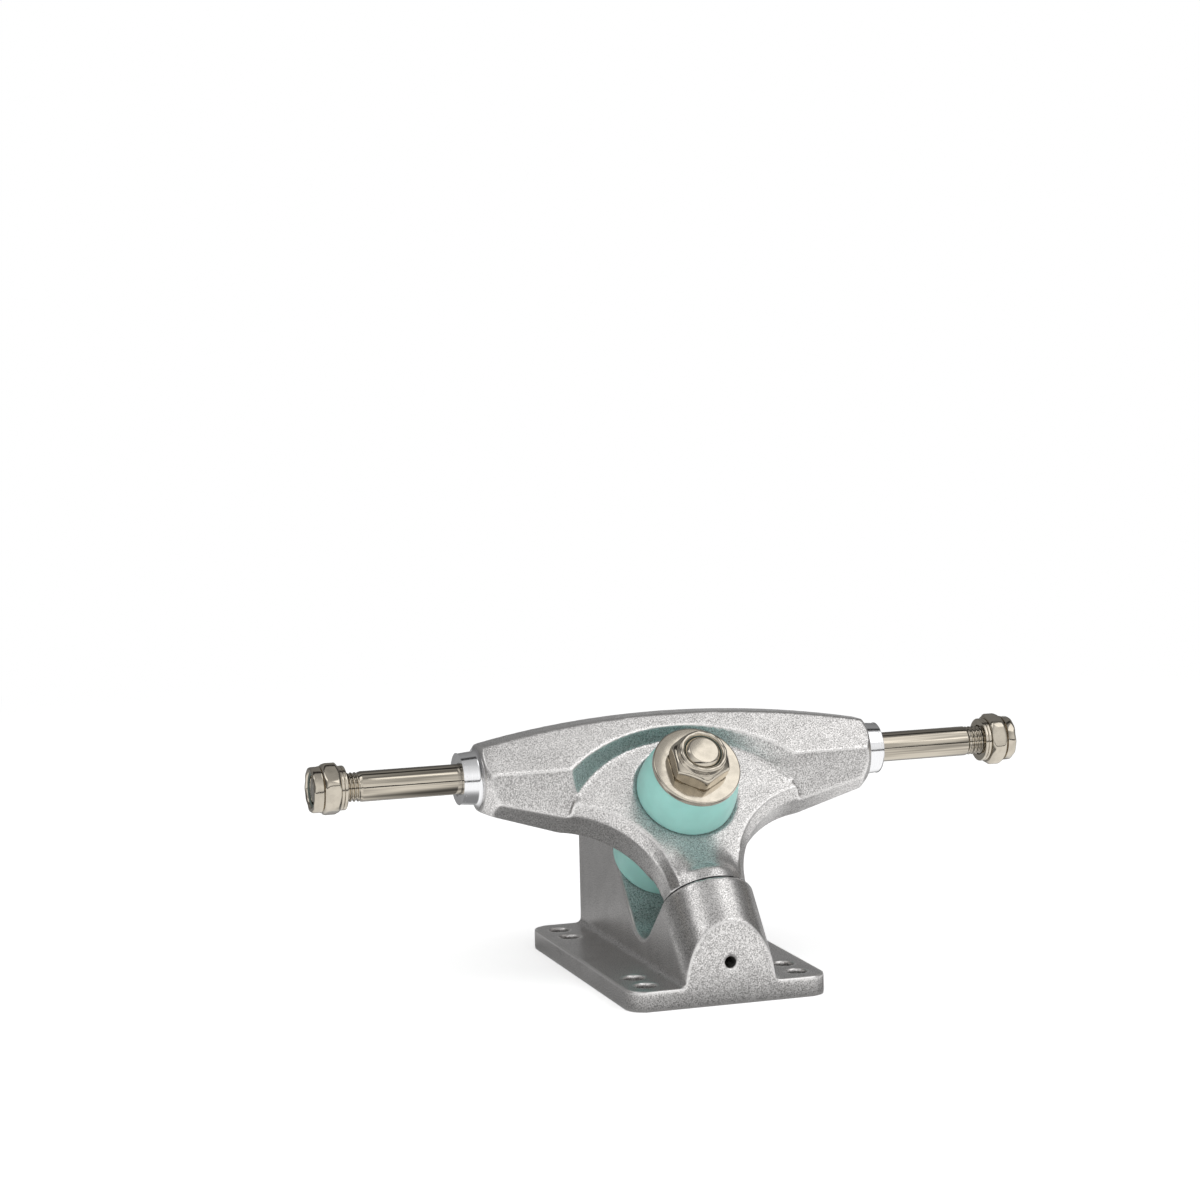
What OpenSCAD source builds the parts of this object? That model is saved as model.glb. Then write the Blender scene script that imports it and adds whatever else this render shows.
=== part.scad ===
// Skateboard truck with the kingpin on the outside, two-sided axle and double bushings.
// Origin: centre of the deck bolt pattern on the underside of the baseplate.
// +X runs along the axle, -Y is the pivot side, +Z points away from the deck.
// Steering frame: origin where the kingpin axis crosses the pivot axis, its Y along the
// pivot axis (away from the pivot) and its Z along the kingpin (towards the nut).

/* [Baseplate] */
// Width of the plate across the deck
plate_w = 54; // [52:0.2:60]
// Length of the plate along the deck
plate_l = 88; // [86:0.5:96]
// Thickness of the plate
plate_t = 5.4; // [4.5:0.1:7]
// Corner radius of the plate
plate_corner_r = 5.5; // [3:0.5:6]
// Width of the block that carries the kingpin and the pivot
block_w = 24.6; // [24:0.2:26]
// Height of the flat top of the block above the deck
block_top = 40; // [38:0.5:41]
// Radius in the corner between the bushing seat and the pivot housing
notch_r = 10; // [5:0.5:11]
// Radius of the fillet along the foot of the block
foot_r = 1.4; // [0.5:0.1:2]

/* [Deck bolts] */
// Hole spacing across the deck
bolt_across = 41.28; // [40.5:0.01:42]
// Spacing of the inner holes along the deck
bolt_inner = 53.98; // [53:0.01:55]
// Step from an inner hole to its outer neighbour
bolt_step = 9.52; // [9:0.01:10]
// Bolt hole diameter
bolt_hole_d = 5.6; // [5:0.1:6]

/* [Steering geometry] */
// Angle of the pivot axis above the deck
pivot_angle = 48; // [46:0.5:50]
// Crossing of kingpin and pivot axes, from the plate centre towards the rear
cross_y = -6.5; // [-8:0.1:-5]
// Height of the crossing above the deck
cross_z = 45.2; // [44:0.1:47]
// Distance from the crossing down to the bushing seat on the block
base_seat = 24.2; // [22:0.1:25]
// Distance from the crossing to the end face of the pivot housing
housing_end = 29.2; // [28.5:0.1:31]

/* [Pivot] */
// Outer diameter of the pivot cup
cup_d = 17.4; // [17:0.1:17.8]
// Wall of the pivot cup
cup_wall = 2.2; // [1.8:0.1:3]
// Depth of the pivot cup in the housing
cup_depth = 14; // [12:0.5:15]
// Height of the cup rim above the housing
cup_rim = 3.6; // [2.5:0.1:4.2]
// Diameter of the flange that covers the end of the housing
cup_flange_d = 23.6; // [20:0.1:24]
// Clearance between that flange and the nose of the hanger
flange_clear = 0.2; // [0.1:0.05:0.3]
// Diameter of the ball end of the pivot stem
ball_d = 13.4; // [12:0.1:13.6]
// Clearance between the ball and its cup
ball_clear = 0.3; // [0.2:0.05:0.6]
// Diameter of the pivot stem
stem_d = 10.4; // [9:0.1:11]
// Diameter of the vent hole in the front of the housing
vent_d = 3; // [2:0.1:4]
// Height of the vent hole above the deck
vent_z = 11; // [10:0.1:12]

/* [Kingpin] */
// Shank diameter
kingpin_d = 9.525; // [9:0.005:10]
// Clearance around the shank in the block, on the radius
kingpin_clear = 0.1; // [0.05:0.05:0.3]
// Distance from the crossing down to the face under the head
kingpin_head_at = 44; // [42:0.5:46]
// Height of the head
kingpin_head_h = 6; // [5:0.1:7]
// Width of the head across its flats
kingpin_head_af = 14.29; // [13.5:0.01:15]
// Clearance around the head in its pocket
head_clear = 0.25; // [0.15:0.05:0.5]
// Diameter of the well that leads to the head
well_d = 18; // [17:0.5:20]
// Length of the kingpin end that shows above the nut
kingpin_proud = 0.3; // [0:0.1:2]
// Chamfer on the kingpin end
kingpin_chamfer = 0.9; // [0.4:0.1:1.4]

/* [Bushings] */
// Diameter of the outer bushing at its seat
outer_foot_d = 26.6; // [25:0.1:27]
// Diameter of the outer bushing under the washer
outer_top_d = 23.4; // [22.5:0.1:25]
// Height of the outer bushing
outer_h = 11.3; // [10.5:0.1:13]
// Diameter of the inner bushing at its ends
inner_end_d = 25.2; // [22:0.1:25.6]
// How far the inner bushing bulges on the radius
inner_bulge = 0.6; // [0.2:0.1:0.8]
// Bore of both bushings
bushing_bore = 10.1; // [9.9:0.1:11]
// Rounding of the bushing edges
bushing_edge_r = 0.9; // [0.4:0.1:1.5]

/* [Cup washer] */
// Diameter of the washer
washer_d = 23.4; // [22:0.1:25]
// Thickness of the washer
washer_t = 1.8; // [1.2:0.1:2.4]
// Rounding of the washer rim
washer_edge_r = 0.6; // [0.2:0.1:0.8]
// Hole in the washer
washer_bore = 9.9; // [9.7:0.1:11]

/* [Kingpin nut] */
// Width across the flats
knut_af = 14.29; // [13.5:0.01:15]
// Height of the hex
knut_hex_h = 4.8; // [4:0.1:7]
// Height of the collar that holds the insert
knut_collar_h = 2.2; // [1.8:0.1:3]
// Diameter of the collar
knut_collar_d = 12.8; // [12:0.1:13.6]
// Wall of the collar
knut_collar_wall = 0.7; // [0.4:0.1:1]
// Turn of the hex about the kingpin
knut_turn = 30; // [0:1:60]

/* [Hanger] */
// Half length of the hanger from centre to wheel shoulder
shoulder_x = 58.6; // [57:0.1:61]
// Length of the machined boss at each end
boss_l = 4.8; // [4:0.1:7]
// Diameter of the boss
boss_d = 14; // [13:0.1:15]
// Height of the arms above the crossing
arm_top = 11.8; // [11:0.1:13]
// Height of the web around the bushing above the crossing
web_top = 7.2; // [7:0.1:8]
// Height of the outer bushing seat above the crossing
seat_top = 6.6; // [6.4:0.1:6.8]
// Distance from the crossing down to the underside
underside = 6.6; // [6:0.1:7]
// Rear edge of the hanger at its centre, along the pivot axis
rear_edge = 26.8; // [26:0.1:28]
// Radius of the long rear edge
rear_r = 227; // [180:1:300]
// Chamfer along the rear edge, measured along the pivot axis
rear_chamfer = 5; // [3:0.1:6]
// Depth of that chamfer along the kingpin
rear_chamfer_drop = 6; // [4:0.1:7]
// Rear wall of the bushing pocket at its centre, along the pivot axis
pocket_rear = 16.2; // [15.8:0.1:17]
// Radius of the bushing pocket
pocket_r = 36.6; // [33:0.1:40]
// Radius of the pocket rim, which opens the pocket out at both sides
rim_r = 48; // [45:1:55]
// How far the rim lies behind the foot of the rear wall
rim_back = 1.6; // [0.6:0.1:2.4]
// Distance from the axle to the upright front and rear facets of the arms
facet_y = 11.2; // [10.5:0.1:12]
// Front face of the arm at its end, along the pivot axis
arm_front = 1.2; // [0:0.1:2]
// Height of the arm below the axle at its end
arm_drop = 8.7; // [8.4:0.1:10]
// Flat lip left round the boss at the end of the arm
end_lip = 1.6; // [1.2:0.1:2]
// How far the middle of the arm's section lies in front of the axle
end_shift = 1; // [0.5:0.1:1.5]
// Slope of the underside of the arms
arm_slope = 17.6; // [16:0.2:20]
// Half width of the flat web between the arms
web_half = 24; // [22:0.5:26]
// Radius of the sweep from arm to nose
sweep_r = 25.6; // [24:0.1:26]
// Half width of the nose
nose_half = 10.4; // [10.2:0.1:10.8]
// Radius of the nose ring around the pivot
nose_r = 10.6; // [10.6:0.1:11]
// Gap between nose and housing
nose_gap = 0.8; // [0.6:0.1:1.2]
// Clearance between nose ring and cup rim
rim_clear = 0.5; // [0.3:0.1:0.8]
// Furthest swing of the hanger to each side
steer_range = 20; // [15:1:22]

/* [Axle] */
// Axle diameter
axle_d = 7.94; // [7.5:0.01:8.5]
// Half length of the axle
axle_half = 97.4; // [96.5:0.1:99]
// Axle centre from the crossing, along the pivot axis
axle_u = 12.4; // [12:0.1:13]
// Axle centre from the crossing, along the kingpin
axle_w = 2; // [1.5:0.1:2.2]
// Diameter of the knurled middle that grips the casting
grip_d = 8.6; // [8.4:0.1:9]
// Length of each threaded end
thread_l = 12.6; // [11:0.1:14]
// Diameter of the threaded ends
thread_d = 7.6; // [7.3:0.01:7.62]
// Chamfer on the axle ends
axle_chamfer = 0.8; // [0.4:0.1:1.2]

/* [Speed washers] */
// Outer diameter
speed_d = 11.6; // [10.5:0.1:13]
// Thickness
speed_t = 1.1; // [0.6:0.1:1.4]
// Clearance of washers and nuts around the axle, on the radius
axle_run = 0.08; // [0.03:0.01:0.1]

/* [Axle nuts] */
// Width across the flats
anut_af = 12.7; // [12:0.01:13.5]
// Height of the hex
anut_hex_h = 4.9; // [4:0.1:6]
// Height of the collar that holds the insert
anut_collar_h = 2.3; // [2:0.1:3]
// Diameter of the collar
anut_collar_d = 11.4; // [10.8:0.1:12]
// Wall of the collar
anut_collar_wall = 0.7; // [0.4:0.1:1]
// How far the nut stands past the end of the axle
anut_past = 0.6; // [0:0.1:1.5]

/* [Hidden] */

// Sideways direction of each end of the axle
LEFT = -1;
RIGHT = 1;

eps = 0.01;
far = 200;
round_fn = 96;
arc_fn = 360;

cast_grey = [0.66, 0.66, 0.67];
nickel = [0.78, 0.74, 0.66];
urethane = [0.58, 0.82, 0.76];
black_urethane = [0.06, 0.06, 0.06];
nylon = [0.32, 0.36, 0.33];

ks = sin(pivot_angle);
kc = cos(pivot_angle);
block_half = block_w / 2;
cup_r = cup_d / 2;
kingpin_r = kingpin_d / 2;
axle_r = axle_d / 2;

// World place of the axle centre
axle_y = cross_y + axle_u * kc - axle_w * ks;
axle_z = cross_z + axle_u * ks + axle_w * kc;

// Stack along the kingpin above the crossing
washer_at = seat_top + outer_h;
knut_at = washer_at + washer_t;
knut_h = knut_hex_h + knut_collar_h;
kingpin_end = knut_at + knut_h + kingpin_proud;

// Stack along the axle, counted inwards from its end
anut_x = axle_half + anut_past - anut_hex_h - anut_collar_h;
second_washer_x = anut_x - speed_t;
first_washer_x = second_washer_x - speed_t;
thread_x = axle_half - thread_l;
arm_end = shoulder_x - boss_l;
grip_r = grip_d / 2;

// Nose of the hanger along the pivot axis
nose_end = -housing_end + nose_gap;
counterbore_h = cup_rim - nose_gap + rim_clear;
ring_wall = 0.3;
relief_w = 3;
relief_l = 10;

// Clearance of the outer bushing in its seat
seat_clear = 0.4;

// Chamfer along the upper and lower edges of the sweep
edge_run = 2;
edge_drop = 3;

// Bevel on the corners and the collar of the nuts
nut_bevel = 0.5;

// Places the children in the steering frame
module steered() {
    translate([0, cross_y, cross_z]) rotate([pivot_angle, 0, 0]) children();
}

// Turns a solid of revolution about Z so that it runs along the pivot axis, at u
module along_pivot(u) {
    translate([0, u, 0]) rotate([-90, 0, 0]) children();
}

// Turns a solid of revolution about Z so that it runs outwards along the axle, from x
module along_axle(side, x) {
    translate([side * x, axle_y, axle_z]) rotate([0, side * 90, 0]) children();
}

// Hexagonal prism of the given width across flats
module hex_prism(af, h) {
    cylinder(d = af / cos(30), h = h, $fn = 6);
}

// Flat rectangle with round corners, centred
module rounded_plate(w, l, r) {
    square([w - 2 * r, l], center = true);
    square([w, l - 2 * r], center = true);
    for (sx = [-1, 1], sy = [-1, 1])
        translate([sx * (w / 2 - r), sy * (l / 2 - r)]) circle(r = r, $fn = 64);
}

// Turned ring with rounded outer edges, from z = 0 to h
module rounded_ring(r_in, r_out, h, edge) {
    rotate_extrude($fn = round_fn) {
        translate([r_in, 0]) square([r_out - edge - r_in, h]);
        translate([r_in, edge]) square([r_out - r_in, h - 2 * edge]);
        for (z = [edge, h - edge])
            translate([r_out - edge, z]) circle(r = edge, $fn = 32);
    }
}

// Side outline of the block in the Y-Z plane, below the pivot axis and the bushing seat
function steer_point(u, w) = [cross_y + u * kc - w * ks, cross_z + u * ks + w * kc];
housing_axis_u = (-plate_l / 2 - cross_y) / kc;
seat_rear_u = (block_top - cross_z + base_seat * kc) / ks;
notch_center = [-housing_end + notch_r, -base_seat + notch_r];
notch_steps = 16;

function notch_arc() = [for (i = [0 : notch_steps])
    let (a = 180 + 90 * i / notch_steps)
    steer_point(notch_center[0] + notch_r * cos(a), notch_center[1] + notch_r * sin(a))];

module block_outline() {
    polygon(concat(
        [[-plate_l / 2, 0], steer_point(housing_axis_u, 0), steer_point(-housing_end, 0)],
        notch_arc(),
        [steer_point(seat_rear_u, -base_seat), [plate_l / 2, block_top], [plate_l / 2, 0]]));
}

// Concave fillet along the foot of the block on one side
module foot_fillet(side) {
    translate([side * block_half, plate_l / 2, plate_t]) rotate([90, 0, 0])
        linear_extrude(plate_l) difference() {
            translate([side * foot_r / 2, foot_r / 2])
                square([foot_r + 2 * eps, foot_r + 2 * eps], center = true);
            translate([side * foot_r, foot_r]) circle(r = foot_r, $fn = 48);
        }
}

// Everything that is cut along the kingpin: shank hole, head pocket and the well behind it
module kingpin_cuts() {
    shank_r = kingpin_r + kingpin_clear;
    steered() {
        translate([0, 0, -kingpin_head_at - eps])
            cylinder(r = shank_r, h = kingpin_head_at, $fn = round_fn);
        translate([0, 0, -kingpin_head_at - kingpin_head_h])
            hex_prism(kingpin_head_af + 2 * head_clear, kingpin_head_h);
        translate([0, 0, -far]) cylinder(d = well_d, h = far - kingpin_head_at - kingpin_head_h,
                                         $fn = round_fn);
    }
}

module baseplate() {
    color(cast_grey) difference() {
        union() {
            linear_extrude(plate_t) rounded_plate(plate_w, plate_l, plate_corner_r);
            translate([-block_half, 0, 0]) rotate([90, 0, 90])
                linear_extrude(block_w) block_outline();
            intersection() {
                steered() along_pivot(-far) cylinder(r = block_half, h = far - housing_end,
                                                     $fn = round_fn);
                translate([-block_half, -plate_l / 2, 0]) cube([block_w, plate_l, block_top]);
            }
            for (side = [LEFT, RIGHT]) foot_fillet(side);
        }
        for (sx = [-1, 1], sy = [-1, 1], step = [0, bolt_step])
            translate([sx * bolt_across / 2, sy * (bolt_inner / 2 + step), -eps])
                cylinder(d = bolt_hole_d, h = plate_t + foot_r, $fn = 48);
        steered() along_pivot(-housing_end - cup_depth)
            cylinder(r = cup_r, h = cup_depth + eps, $fn = round_fn);
        translate([0, -plate_l / 2 - eps, vent_z])
            rotate([-90, 0, 0]) cylinder(d = vent_d, h = cup_depth - cup_wall, $fn = 48);
        kingpin_cuts();
    }
}

// Cup lining the housing: floor, wall, a flange over the housing's end and a raised rim
module pivot_cup() {
    ball_r = ball_d / 2;
    color(black_urethane) steered() along_pivot(-housing_end - cup_depth) difference() {
        union() {
            cylinder(r = cup_r, h = cup_depth + cup_rim, $fn = round_fn);
            translate([0, 0, cup_depth])
                cylinder(d = cup_flange_d, h = nose_gap - flange_clear, $fn = round_fn);
        }
        translate([0, 0, cup_wall + ball_r + ball_clear]) {
            sphere(r = ball_r + ball_clear, $fn = round_fn);
            cylinder(r = ball_r + ball_clear, h = far, $fn = round_fn);
        }
    }
}

module kingpin() {
    color(nickel) steered() {
        translate([0, 0, -kingpin_head_at])
            cylinder(r = kingpin_r, h = kingpin_head_at + kingpin_end - kingpin_chamfer,
                     $fn = round_fn);
        translate([0, 0, kingpin_end - kingpin_chamfer])
            cylinder(r1 = kingpin_r, r2 = kingpin_r - kingpin_chamfer, h = kingpin_chamfer,
                     $fn = round_fn);
        translate([0, 0, -kingpin_head_at - kingpin_head_h])
            hex_prism(kingpin_head_af, kingpin_head_h);
    }
}

// Locking nut from z = 0: a hex with turned corners and a collar open at the top
module lock_nut(af, hex_h, collar_h, collar_d, wall, bore_r) {
    collar_r = collar_d / 2;
    corner_r = af / cos(30) / 2;
    difference() {
        union() {
            intersection() {
                hex_prism(af, hex_h);
                union() {
                    cylinder(r1 = corner_r - nut_bevel, r2 = corner_r, h = nut_bevel, $fn = round_fn);
                    translate([0, 0, nut_bevel])
                        cylinder(r = corner_r, h = hex_h - 3 * nut_bevel, $fn = round_fn);
                    translate([0, 0, hex_h - 2 * nut_bevel])
                        cylinder(r1 = corner_r, r2 = corner_r - 2.5 * nut_bevel, h = 2 * nut_bevel,
                                 $fn = round_fn);
                }
            }
            translate([0, 0, hex_h - eps])
                cylinder(r = collar_r, h = collar_h + eps - nut_bevel, $fn = round_fn);
            translate([0, 0, hex_h + collar_h - nut_bevel])
                cylinder(r1 = collar_r, r2 = collar_r - nut_bevel, h = nut_bevel, $fn = round_fn);
        }
        translate([0, 0, -eps]) cylinder(r = bore_r, h = far, $fn = round_fn);
        translate([0, 0, hex_h])
            cylinder(r = collar_r - wall, h = insert_height(collar_h), $fn = round_fn);
        translate([0, 0, hex_h + collar_h - insert_lip(collar_h)])
            cylinder(r = collar_r - 2 * wall, h = far, $fn = round_fn);
    }
}

// The collar holds its insert under a crimped lip
function insert_lip(collar_h) = collar_h / 4;
function insert_height(collar_h) = collar_h - insert_lip(collar_h);

module nut_insert(hex_h, collar_h, collar_d, wall, bore_r) {
    translate([0, 0, hex_h]) difference() {
        cylinder(r = collar_d / 2 - wall, h = insert_height(collar_h), $fn = round_fn);
        translate([0, 0, -eps]) cylinder(r = bore_r, h = far, $fn = round_fn);
    }
}

module kingpin_nut() {
    color(nickel) steered() translate([0, 0, knut_at]) rotate([0, 0, knut_turn])
        lock_nut(knut_af, knut_hex_h, knut_collar_h, knut_collar_d, knut_collar_wall,
                 kingpin_r + axle_run);
}

module kingpin_nut_insert() {
    color(nylon) steered() translate([0, 0, knut_at])
        nut_insert(knut_hex_h, knut_collar_h, knut_collar_d, knut_collar_wall,
                   kingpin_r + axle_run / 2);
}

module outer_washer() {
    color(nickel) steered() translate([0, 0, washer_at])
        rounded_ring(washer_bore / 2, washer_d / 2, washer_t, washer_edge_r);
}

// Barrel bushing from its seat up to the washer, wider at the seat
module outer_bushing() {
    foot_r_b = outer_foot_d / 2;
    top_r = outer_top_d / 2;
    bore_r = bushing_bore / 2;
    steps = 12;
    side = [for (i = [0 : steps])
        let (t = i / steps, z = bushing_edge_r + t * (outer_h - 2 * bushing_edge_r))
        [foot_r_b + (top_r - foot_r_b) * pow(t, 1.6), z]];
    color(urethane) steered() translate([0, 0, seat_top]) rotate_extrude($fn = round_fn)
        polygon(concat([[bore_r, 0], [foot_r_b - bushing_edge_r, 0]], side,
                       [[top_r - bushing_edge_r, outer_h], [bore_r, outer_h]]));
}

// Barrel bushing between the hanger and the block
module inner_bushing() {
    end_r = inner_end_d / 2;
    bore_r = bushing_bore / 2;
    h = base_seat - underside;
    steps = 16;
    side = [for (i = [0 : steps])
        let (t = i / steps, z = bushing_edge_r + t * (h - 2 * bushing_edge_r))
        [end_r + inner_bulge * sin(180 * t), z]];
    color(urethane) steered() translate([0, 0, -base_seat]) rotate_extrude($fn = round_fn)
        polygon(concat([[bore_r, 0], [end_r - bushing_edge_r, 0]], side,
                       [[end_r - bushing_edge_r, h], [bore_r, h]]));
}

// Centre of the round sweep from arm to nose, and where a line from the arm end touches it
sweep_x = nose_half + sweep_r;
sweep_u = nose_end;
function touch_point(p, c, r) =
    let (d = p - c, dist = norm(d), a = atan2(d[1], d[0]) + acos(r / dist))
    c + r * [cos(a), sin(a)];

// Plan of one half of the hanger, from the centre line to the arm end
module hanger_plan(side) {
    touch = touch_point([arm_end, arm_front], [sweep_x, sweep_u], sweep_r);
    difference() {
        polygon([[-side * eps, nose_end], [side * sweep_x, nose_end],
                 [side * touch[0], touch[1]], [side * arm_end, arm_front],
                 [side * arm_end, rear_edge], [-side * eps, rear_edge]]);
        translate([side * sweep_x, sweep_u]) circle(r = sweep_r, $fn = arc_fn);
    }
}

// Spool that cuts the sweep with a chamfer along its upper and lower edges
module sweep_cut(side) {
    translate([side * sweep_x, sweep_u, 0]) rotate_extrude($fn = arc_fn)
        polygon([[0, -underside - eps], [sweep_r + edge_run, -underside - eps],
                 [sweep_r, -underside + edge_drop], [sweep_r, web_top - edge_drop],
                 [sweep_r + edge_run, web_top], [sweep_r + edge_run, arm_top + eps],
                 [0, arm_top + eps]]);
}

// Disc whose edge is the long rear edge with its two chamfers
module rear_disc() {
    translate([0, rear_edge - rear_r, 0]) rotate_extrude($fn = 4 * arc_fn)
        polygon([[0, -underside], [rear_r - rear_chamfer, -underside],
                 [rear_r, -underside + rear_chamfer_drop], [rear_r, arm_top - rear_chamfer_drop],
                 [rear_r - rear_chamfer, arm_top], [0, arm_top]]);
}

// Pocket around the outer bushing, from the web up to a rim of larger radius
module bushing_pocket() {
    rim_u = pocket_rear + rim_back - rim_r;
    hull() {
        translate([0, pocket_rear - pocket_r, web_top])
            cylinder(r = pocket_r, h = eps, $fn = 120);
        translate([0, rim_u, arm_top]) cylinder(r = rim_r, h = eps, $fn = 120);
    }
    translate([0, rim_u, arm_top]) cylinder(r = rim_r, h = far, $fn = 120);
}

// Upright facet along the front of both arms, above the web only
module front_facet() {
    intersection() {
        translate([-far, axle_y - facet_y - far, axle_z - far]) cube([2 * far, far, 2 * far]);
        steered() difference() {
            translate([-far, -far, -underside]) cube([2 * far, 2 * far, far]);
            translate([0, pocket_rear - pocket_r, -far])
                cylinder(r = pocket_r, h = 2 * far, $fn = arc_fn);
        }
    }
}

// Upright facet along the rear of the hanger
module rear_facet() {
    translate([-far, axle_y + facet_y, axle_z - far]) cube([2 * far, far, 2 * far]);
}

// Sloping underside of an arm, which runs out before the web
module underside_facet(side) {
    intersection() {
        translate([side * arm_end, axle_y, axle_z - arm_drop]) rotate([0, -side * arm_slope, 0])
            translate([-far, -far, -far]) cube([2 * far, 2 * far, far]);
        translate([side * (far + web_half), 0, 0]) cube(2 * far, center = true);
    }
}

// Waisted hole that lets the hanger swing around the kingpin
module kingpin_swing_hole() {
    waist = kingpin_r / cos(steer_range) + 0.25;
    for (up = [0, 1]) mirror([0, 0, up]) translate([0, 0, -eps])
        cylinder(r1 = waist, r2 = waist + (seat_top + eps) * tan(steer_range),
                 h = seat_top + 2 * eps, $fn = round_fn);
}

// Bevelled ends of both arms, turned about the middle of the arm's section
module arm_ends() {
    end_r = boss_d / 2 + end_lip;
    corner = 4;
    translate([0, axle_y - end_shift, axle_z]) rotate([0, 90, 0]) rotate_extrude($fn = round_fn)
        polygon([[0, -arm_end], [end_r, -arm_end], [end_r + corner, -arm_end + corner],
                 [far, -arm_end + 2 * corner], [far, arm_end - 2 * corner],
                 [end_r + corner, arm_end - corner], [end_r, arm_end], [0, arm_end]]);
}

// Both arms and the web between them, with every facet cut
module yoke() {
    difference() {
        intersection() {
            steered() for (side = [LEFT, RIGHT]) translate([0, 0, -underside])
                linear_extrude(underside + arm_top) hanger_plan(side);
            steered() rear_disc();
            arm_ends();
        }
        steered() {
            for (side = [LEFT, RIGHT]) sweep_cut(side);
            bushing_pocket();
        }
        front_facet();
        rear_facet();
        for (side = [LEFT, RIGHT]) underside_facet(side);
    }
}

// Ring over the mouth of the pivot cup, sloping down to the web behind it
module nose_ring() {
    along_pivot(nose_end) {
        cylinder(r = nose_r, h = counterbore_h + ring_wall, $fn = round_fn);
        translate([0, 0, counterbore_h + ring_wall])
            cylinder(r1 = nose_r, r2 = web_top, h = 0.8 * (nose_r - web_top), $fn = round_fn);
    }
}

// Cut that leaves the rim of the pivot cup in view from below
module nose_relief() {
    translate([-far, nose_end - far, -relief_w - far]) cube([2 * far, far + relief_l, far]);
}

// Stem with the ball that turns in the pivot cup
module pivot_stem() {
    ball_u = -housing_end - cup_depth + cup_wall + ball_d / 2 + ball_clear;
    along_pivot(ball_u) {
        cylinder(d = stem_d, h = nose_end + relief_l + 1 - ball_u, $fn = round_fn);
        sphere(d = ball_d, $fn = round_fn);
    }
}

// Machined boss that the bearing spacer runs up against
module boss(side) {
    along_axle(side, arm_end - eps) difference() {
        cylinder(d = boss_d, h = boss_l + eps, $fn = round_fn);
        translate([0, 0, -far]) cylinder(r = grip_r, h = 2 * far, $fn = round_fn);
    }
}

module hanger() {
    color(cast_grey) {
        difference() {
            union() {
                yoke();
                steered() nose_ring();
            }
            steered() {
                nose_relief();
                kingpin_swing_hole();
                translate([0, 0, seat_top])
                    cylinder(d = outer_foot_d + 2 * seat_clear, h = far, $fn = round_fn);
                along_pivot(nose_end - far)
                    cylinder(r = cup_r + rim_clear, h = far + counterbore_h, $fn = round_fn);
            }
            along_axle(RIGHT, -far) cylinder(r = grip_r, h = 2 * far, $fn = round_fn);
        }
        steered() pivot_stem();
        for (side = [LEFT, RIGHT]) boss(side);
    }
}

// Rod with a thicker middle up to the shoulders, plain wheel seats and chamfered threaded ends
module axle() {
    thread_r = thread_d / 2;
    color(nickel) {
        along_axle(RIGHT, -shoulder_x) cylinder(r = grip_r, h = 2 * shoulder_x, $fn = round_fn);
        along_axle(RIGHT, -thread_x) cylinder(r = axle_r, h = 2 * thread_x, $fn = round_fn);
        for (side = [LEFT, RIGHT]) {
            along_axle(side, thread_x - eps)
                cylinder(r = thread_r, h = axle_half - axle_chamfer - thread_x + eps,
                         $fn = round_fn);
            along_axle(side, axle_half - axle_chamfer)
                cylinder(r1 = thread_r, r2 = thread_r - axle_chamfer, h = axle_chamfer,
                         $fn = round_fn);
        }
    }
}

module speed_washer(side, x) {
    color(nickel) along_axle(side, x)
        rounded_ring(axle_r + axle_run, speed_d / 2, speed_t, speed_t / 4);
}

module axle_nut(side) {
    color(nickel) along_axle(side, anut_x)
        lock_nut(anut_af, anut_hex_h, anut_collar_h, anut_collar_d, anut_collar_wall,
                 thread_d / 2 + axle_run);
}

module axle_nut_insert(side) {
    color(nylon) along_axle(side, anut_x)
        nut_insert(anut_hex_h, anut_collar_h, anut_collar_d, anut_collar_wall,
                   thread_d / 2 + axle_run / 2);
}

baseplate();
pivot_cup();
kingpin();
kingpin_nut();
kingpin_nut_insert();
outer_washer();
outer_bushing();
inner_bushing();
hanger();
axle();
speed_washer(LEFT, first_washer_x);  // left_inner_washer
speed_washer(LEFT, second_washer_x);  // left_outer_washer
axle_nut(LEFT);  // left_axle_nut
axle_nut_insert(LEFT);  // left_nut_insert
speed_washer(RIGHT, first_washer_x);  // right_inner_washer
speed_washer(RIGHT, second_washer_x);  // right_outer_washer
axle_nut(RIGHT);  // right_axle_nut
axle_nut_insert(RIGHT);  // right_nut_insert
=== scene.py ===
"""Studio scene of a skateboard truck with a slanted outer kingpin.

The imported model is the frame. The castings are softened copies of their nodes, and the turned
and pressed pieces are surfaces worked out with numpy, all in metres in the frame of the model.
"""
import logging
import math
from dataclasses import dataclass, field
from enum import Enum
from typing import Callable, Sequence

import bmesh
import bpy
import numpy as np
from bpy.types import ID, Material, Mesh, Node, NodeSocket, Object, World
from mathutils import Matrix


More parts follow.
